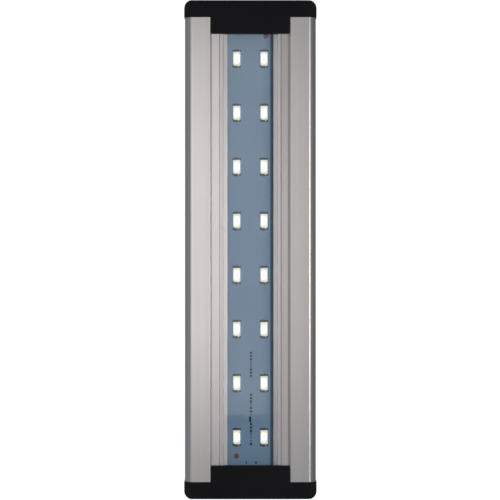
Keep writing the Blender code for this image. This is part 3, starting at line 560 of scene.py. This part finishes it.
def casing():
    """The housing, its caps and their screws, and the lens."""
    refined("housing", "housing_extrusion", "anodised_aluminium", MATERIALS["aluminium"])
    for word in ("power", "plain"):
        cap = f"end_cap_{word}"
        refined(cap, f"{cap}_moulding", "cap_plastic", MATERIALS["cap"], edge=0.12 * MM, smooth_angle=20.0)
    for number in range(1, 5):
        node = f"end_cap_screw_{number}"
        refined(node, f"{node}_plated", "zinc_steel", MATERIALS["steel"], edge=0.06 * MM)
    refined("lens", "lens_strip", "lens_acrylic", MATERIALS["acrylic"])


def inlet():
    """The power inlet's socket, pin and nut."""
    refined("dc_jack_body", "dc_jack_socket", "inlet_plastic", MATERIALS["jack"], edge=0.06 * MM)
    refined("dc_jack_pin", "dc_jack_centre_pin", "nickel_brass", MATERIALS["nickel"])
    refined("dc_jack_nut", "dc_jack_hex_nut", "nickel_brass", MATERIALS["nickel"], edge=0.12 * MM)


def inner_parts():
    """The CAD nodes that keep their shape, and each one's finish."""
    finishes = {
        "end_seal_power": "rubber",
        "end_seal_plain": "rubber",
        "dc_jack_seal": "rubber",
        "dc_jack_contact": "nickel",
        "lens_seal_left": "silicone",
        "lens_seal_right": "silicone",
        "thermal_pad": "pad",
        "resistor_1": "ceramic",
        "resistor_2": "ceramic",
        "solder_joint_positive": "solder",
        "solder_joint_negative": "solder",
        "wire_positive": "red",
        "wire_negative": "black",
    }
    for node, finish in finishes.items():
        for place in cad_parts[node].material_slots:
            place.material = MATERIALS[finish]


# The board.


def board():
    """The board's aluminium core under its blue-grey lacquer."""
    refined("led_board", "board_core", "board_lacquer", MATERIALS["mask"], edge=0.03 * MM)


def land_stretches():
    """Where the copper lands between neighbouring LEDs of a column start and end along X."""
    rows = sorted({round(sum(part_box(node)[end].x for end in (0, 1)) / 2, 6) for node in LEDS})
    gap = 0.5 * MM
    power_margin = 3.0 * MM
    plain_margin = 2.4 * MM
    ends = [BOARD[0].x + power_margin, *rows, BOARD[1].x - plain_margin]
    return [(low + gap, high - gap) for low, high in zip(ends, ends[1:])]


def lands():
    """Copper lands under the lacquer: they join each LED to the next along its column."""
    shape = bmesh.new()
    half_width = 3.1 * MM
    rim = 0.02 * MM
    column = abs(sum(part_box(LEDS[0])[end].y for end in (0, 1)) / 2)
    for side in (1, -1):
        for low, high in land_stretches():
            near, far = sorted((side * (column - half_width), side * (column + half_width)))
            plate(shape, (low, near, BOARD_TOP), (high, far, BOARD_TOP + COPPER_THICKNESS), rim)
    fasten(mesh_object("board_lands", shape, [MATERIALS["mask"]]), "board_lacquer")


def led_centre(node):
    """The middle of an LED's footprint, at its foot."""
    low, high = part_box(node)
    return Vector(((low.x + high.x) / 2, (low.y + high.y) / 2, low.z))


def ink_plate(shape, low, high):
    """A printed patch between two corners of the board's plan."""
    base = BOARD_TOP + COPPER_THICKNESS + INK_GAP
    plate(shape, (low[0], low[1], base), (high[0], high[1], base + INK_THICKNESS), INK_RIM)


def led_brackets():
    """The printed U at each end of every LED."""
    shape = bmesh.new()
    line = 0.4 * MM
    reach = 3.64 * MM
    back = 2.5 * MM
    half = 1.7 * MM
    for node in LEDS:
        centre = led_centre(node)
        for end in (1, -1):
            low, high = sorted((centre.x + end * (reach - line), centre.x + end * reach))
            ink_plate(shape, (low, centre.y - half), (high, centre.y + half))
            leg_low, leg_high = sorted((centre.x + end * back, centre.x + end * (reach - line)))
            for side in (1, -1):
                near, far = sorted((centre.y + side * (half - line), centre.y + side * half))
                ink_plate(shape, (leg_low, near), (leg_high, far))
    fasten(mesh_object("board_print_led_brackets", shape, [MATERIALS["ink"]]), "board_lacquer")


def centre_mark(shape, kind, start):
    """One filled mark, from start towards -X: a square, a dash or a dot, as shares of depth and width."""
    depth = 1.2 * MM
    half = 0.78 * MM
    middle = -0.25 * MM
    extents = {
        "square": (0.1, 0.9, 0.22, 0.78),
        "dash": (-0.1, 1.1, 0.38, 0.62),
        "dot": (0.3, 0.7, 0.35, 0.65),
    }
    near, far, left, right = extents[kind]
    low = (start - far * depth, middle - half + 2 * half * left)
    high = (start - near * depth, middle - half + 2 * half * right)
    ink_plate(shape, low, high)


def centre_marks():
    """Plain runs of filled squares, dashes and dots along the middle of the board, with a longer block."""
    shape = bmesh.new()
    pitch = 1.36 * MM
    runs = [
        (-42.0 * MM, "square square square dash dash square square square"),
        (-59.3 * MM, "square square square dash square square dot"),
        (-71.4 * MM, "square square square dash dot dot square"),
    ]
    for start, kinds in runs:
        for k, kind in enumerate(kinds.split()):
            centre_mark(shape, kind, start - k * pitch)
    block_low = (-71.2 * MM, -0.35 * MM)
    block_high = (-68.9 * MM, 0.55 * MM)
    ink_plate(shape, block_low, block_high)
    fasten(mesh_object("board_print_centre_marks", shape, [MATERIALS["ink"]]), "board_lacquer")


def painted_lip_shadow():
    """A dark blue band along the board's -Y edge, running in under the lip: painted shadow of the lip, laid
    on as a thin sheet.
    """
    shape = bmesh.new()
    inner = -8.2 * MM
    outer = -9.9 * MM
    end_gap = 0.6 * MM
    ink_plate(shape, (BOARD[0].x + end_gap, outer), (BOARD[1].x - end_gap, inner))
    fasten(mesh_object("board_print_edge_line", shape, [MATERIALS["lip shadow blue"]]), "board_lacquer")


def polarity_marks():
    """A bar and a dot beside the power lead's end of the board."""
    shape = bmesh.new()
    x = -87.9 * MM
    bar_half = 0.62 * MM
    dot_half = 0.42 * MM
    ink_plate(shape, (x - bar_half, 1.45 * MM), (x + bar_half, 1.78 * MM))
    ink_plate(shape, (x - dot_half, -2.75 * MM), (x + dot_half, -1.9 * MM))
    fasten(mesh_object("board_print_polarity", shape, [MATERIALS["ink"]]), "board_lacquer")


def rivet_core_mesh():
    """The plug that closes a rivet's bore, domed a little at both ends."""
    radius = 0.34 * MM
    # Heights over the board in mm, each with its share of the radius.
    profile = [(-3.2, 0.35), (-3.12, 0.8), (-3.0, 1.0), (0.06, 1.0), (0.13, 0.8), (0.16, 0.35)]
    rings = []
    for height, share in profile:
        half = Vector((radius * share, radius * share))
        rings.append((rounded_rectangle(half, radius * share, 4), height * MM))
    shape = bmesh.new()
    loft(shape, rings)
    return shape


def rivets():
    """Both rivets, each with its plug."""
    core = mesh_object("rivet_core", rivet_core_mesh(), [MATERIALS["copper"]], 60.0)
    for node in RIVETS:
        refined(node, f"{node}_rolled", "copper", MATERIALS["copper"])
        low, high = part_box(node)
        placed(core.data, f"{node}_core", "copper", ((low.x + high.x) / 2, (low.y + high.y) / 2, BOARD_TOP))
    bpy.data.objects.remove(core)


# The LEDs.


def inset(half, by):
    """A rectangle's half size, taken in by a distance all round."""
    return Vector((half.x - by, half.y - by))


def led_package_mesh(top):
    """The white package round its cup. top is its height over the CAD foot."""
    steps = 5
    radius = 0.15 * MM
    ease = 0.07 * MM
    mouth_drop = 0.04 * MM
    outer = rounded_rectangle(LED_HALF, radius, steps, LED_MARK)
    eased = rounded_rectangle(inset(LED_HALF, ease), radius - ease * 0.6, steps, LED_MARK - ease * 0.5)
    rim = rounded_rectangle(inset(LED_CUP, -LED_CUP_BRIM), LED_CUP_RADIUS + LED_CUP_BRIM, steps)
    mouth = rounded_rectangle(LED_CUP, LED_CUP_RADIUS, steps)
    cup_floor = rounded_rectangle(inset(LED_CUP, LED_CUP_SLANT), LED_CUP_RADIUS - LED_CUP_SLANT, steps)
    shape = bmesh.new()
    loft(shape, [
        (outer, LED_FOOT), (outer, top - ease), (eased, top),
        (rim, top), (mouth, top - mouth_drop), (cup_floor, top - LED_CUP_DEPTH),
    ])
    return shape


def led_phosphor_mesh(top):
    """The resin that fills the cup, drawn down a little towards its middle."""
    steps = 5
    clear = 0.012 * MM
    edge_drop = 0.065 * MM
    sag = 0.045 * MM
    draw_in = 0.85 * MM
    radius_lost = 0.8 * MM
    least_radius = 0.04 * MM
    edge = LED_CUP_BRIM + clear
    edge_radius = LED_CUP_RADIUS - LED_CUP_BRIM
    foot = inset(LED_CUP, LED_CUP_SLANT + clear)
    rings = [
        (foot, LED_CUP_RADIUS - LED_CUP_SLANT, top - LED_CUP_DEPTH + clear),
        (inset(LED_CUP, edge), edge_radius, top - edge_drop),
    ]
    for k in range(1, 6):
        draw = k / 5
        rings.append((
            inset(LED_CUP, edge + draw_in * draw),
            max(edge_radius - radius_lost * draw, least_radius),
            top - edge_drop - sag * sin(pi / 2 * draw),
        ))
    shape = bmesh.new()
    loft(shape, [(rounded_rectangle(half, radius, steps), height) for half, radius, height in rings])
    return shape


def led_terminals_mesh():
    """Both tinned terminals, each under a mound of solder that runs out to its pad."""
    steps = 4
    middle = TERMINAL_HALF.x - 0.3 * MM
    half = Vector((0.42 * MM, TERMINAL_HALF.y - 0.05 * MM))
    radius = 0.3 * MM
    least_radius = 0.05 * MM
    run_out = 0.28 * MM
    sunk = 0.01 * MM
    crown = [(0.1 * MM, 0.03 * MM), (0.26 * MM, 0.035 * MM), (0.34 * MM, 0.0)]
    rings = []
    for k in range(7):
        climb = k / 6
        spread = run_out * (1.0 - climb) ** 2
        ring = rounded_rectangle(inset(half, -spread), radius + 0.5 * spread, steps)
        rings.append((ring, TERMINAL_TOP * climb - sunk))
    for taken_in, rise in crown:
        ring = rounded_rectangle(inset(half, taken_in), max(radius - taken_in, least_radius), steps)
        rings.append((ring, TERMINAL_TOP + rise))
    shape = bmesh.new()
    for end in (1, -1):
        loft(shape, rings, (end * middle, 0.0, 0.0))
    return shape


def placed(mesh, name, slot, place, *replaced):
    """Another object of this mesh, at a place."""
    obj = bpy.data.objects.new(name, mesh)
    obj.location = place
    bpy.context.scene.collection.objects.link(obj)
    return fasten(obj, slot, *replaced)


def leds():
    """Every LED's package, phosphor and terminals, from one mesh of each."""
    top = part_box(LEDS[0])[1].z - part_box(LEDS[0])[0].z
    package = mesh_object("led_package", led_package_mesh(top), [MATERIALS["resin"]])
    fill = mesh_object("led_fill", led_phosphor_mesh(top), [MATERIALS["phosphor"]], 60.0)
    terminals = mesh_object("led_terminals", led_terminals_mesh(), [MATERIALS["reflowed"]], 70.0)
    for node in LEDS:
        centre = led_centre(node)
        placed(package.data, f"{node}_package", "led_package", centre, node)
        placed(fill.data, f"{node}_phosphor", "led_package", centre)
        placed(terminals.data, f"{node}_terminals", "solder", centre)
    for pattern in (package, fill, terminals):
        bpy.data.objects.remove(pattern)


# The stage.


def floor():
    """A pale plane that stays near white."""
    paint = Shader("pale_floor", (0.93, 0.93, 0.93), 0.9, specular=0.0)
    grain = paint.noise(300.0, 3.0)
    paint.set("Base Color", paint.mix(grain, (0.925, 0.925, 0.925), (0.935, 0.935, 0.935)))
    own_light = 0.8
    half_size = 6.0
    paint.set("Emission Color", (1.0, 1.0, 1.0, 1.0))
    paint.set("Emission Strength", own_light)
    shape = bmesh.new()
    bmesh.ops.create_grid(shape, x_segments=1, y_segments=1, size=half_size)
    plane = mesh_object("floor", shape, [paint.material])
    plane.visible_glossy = False
    plane.location.z = HOUSING[0].z - FLOOR_DROP


def sky_ramp(tree, value, start, end, low, high):
    """value from start..end to low..high, clamped."""
    ramp = tree.nodes.new("ShaderNodeMapRange")
    settings = {"From Min": start, "From Max": end, "To Min": low, "To Max": high}
    for name, number in settings.items():
        ramp.inputs[name].default_value = number
    tree.links.new(value, ramp.inputs["Value"])
    return ramp.outputs["Result"]


def sky():
    """Soft studio surroundings: pale overhead, dark round the horizon, a little lighter on the +Y side.

    The camera itself sees an even, near-white backdrop.
    """
    tint = (0.88, 0.94, 1.0, 1.0)
    seen_by_camera = 1.15
    world = bpy.data.worlds.new("studio")
    world.use_nodes = True
    tree = world.node_tree
    nodes = tree.nodes
    background = nodes["Background"]
    coordinates = nodes.new("ShaderNodeTexCoord")
    split = nodes.new("ShaderNodeSeparateXYZ")
    tree.links.new(coordinates.outputs["Generated"], split.inputs[0])
    total = nodes.new("ShaderNodeMath")
    total.operation = "ADD"
    tree.links.new(sky_ramp(tree, split.outputs["Z"], 0.05, 0.9, 0.13, 0.27), total.inputs[0])
    tree.links.new(sky_ramp(tree, split.outputs["Y"], -1.0, 1.0, -0.03, 0.17), total.inputs[1])
    seen = nodes.new("ShaderNodeLightPath")
    strength = nodes.new("ShaderNodeMix")
    strength.data_type = "FLOAT"
    tree.links.new(seen.outputs["Is Camera Ray"], strength.inputs[0])
    tree.links.new(total.outputs[0], strength.inputs[2])
    strength.inputs[3].default_value = seen_by_camera
    tree.links.new(strength.outputs[0], background.inputs["Strength"])
    background.inputs["Color"].default_value = tint
    bpy.context.scene.world = world


def softbox(name, place, aim, size, radiance, colour):
    """A rectangular light of even brightness, unseen by the camera. size is along X, then across."""
    data = bpy.data.lights.new(name, "AREA")
    data.shape = "RECTANGLE"
    data.size = size[0]
    data.size_y = size[1]
    data.energy = radiance * pi * size[0] * size[1]
    data.color = colour
    light = bpy.data.objects.new(name, data)
    light.location = place
    away = Vector(place) - Vector(aim)
    light.rotation_euler = away.to_track_quat("Z", "Y").to_euler()
    light.visible_camera = False
    bpy.context.scene.collection.objects.link(light)


def lights():
    """A broad soft light nearly overhead, and a brighter strip from the -Y side."""
    softbox(
        "overhead",
        place=(0.013, 0.066, 0.24),
        aim=(0.013, 0.04, 0.0),
        size=(0.19, 0.15),
        radiance=1.02,
        colour=(1.0, 0.98, 0.955),
    )
    softbox(
        "right_strip",
        place=(0.0, -0.205, 0.25),
        aim=(0.0, 0.0, HOUSING[1].z),
        size=(0.17, 0.08),
        radiance=7.5,
        colour=(1.0, 0.99, 0.975),
    )


def camera():
    """Straight above the lit face, far off, with the lamp's +X end at the top of the view."""
    frame_width = 0.2054
    aim = (-0.15 * MM, 0.16 * MM)
    data = bpy.data.cameras.new("camera")
    data.sensor_width = 36.0
    data.lens = 200.0
    view = bpy.data.objects.new("camera", data)
    view.location = (*aim, HOUSING[1].z + frame_width * data.lens / data.sensor_width)
    view.rotation_euler = (0.0, 0.0, -pi / 2)
    bpy.context.scene.collection.objects.link(view)
    bpy.context.scene.camera = view


bpy.context.scene.view_settings.view_transform = "Standard"
camera()
sky()
lights()
floor()
casing()
inlet()
inner_parts()
board()
lands()
led_brackets()
centre_marks()
painted_lip_shadow()
polarity_marks()
rivets()
leds()
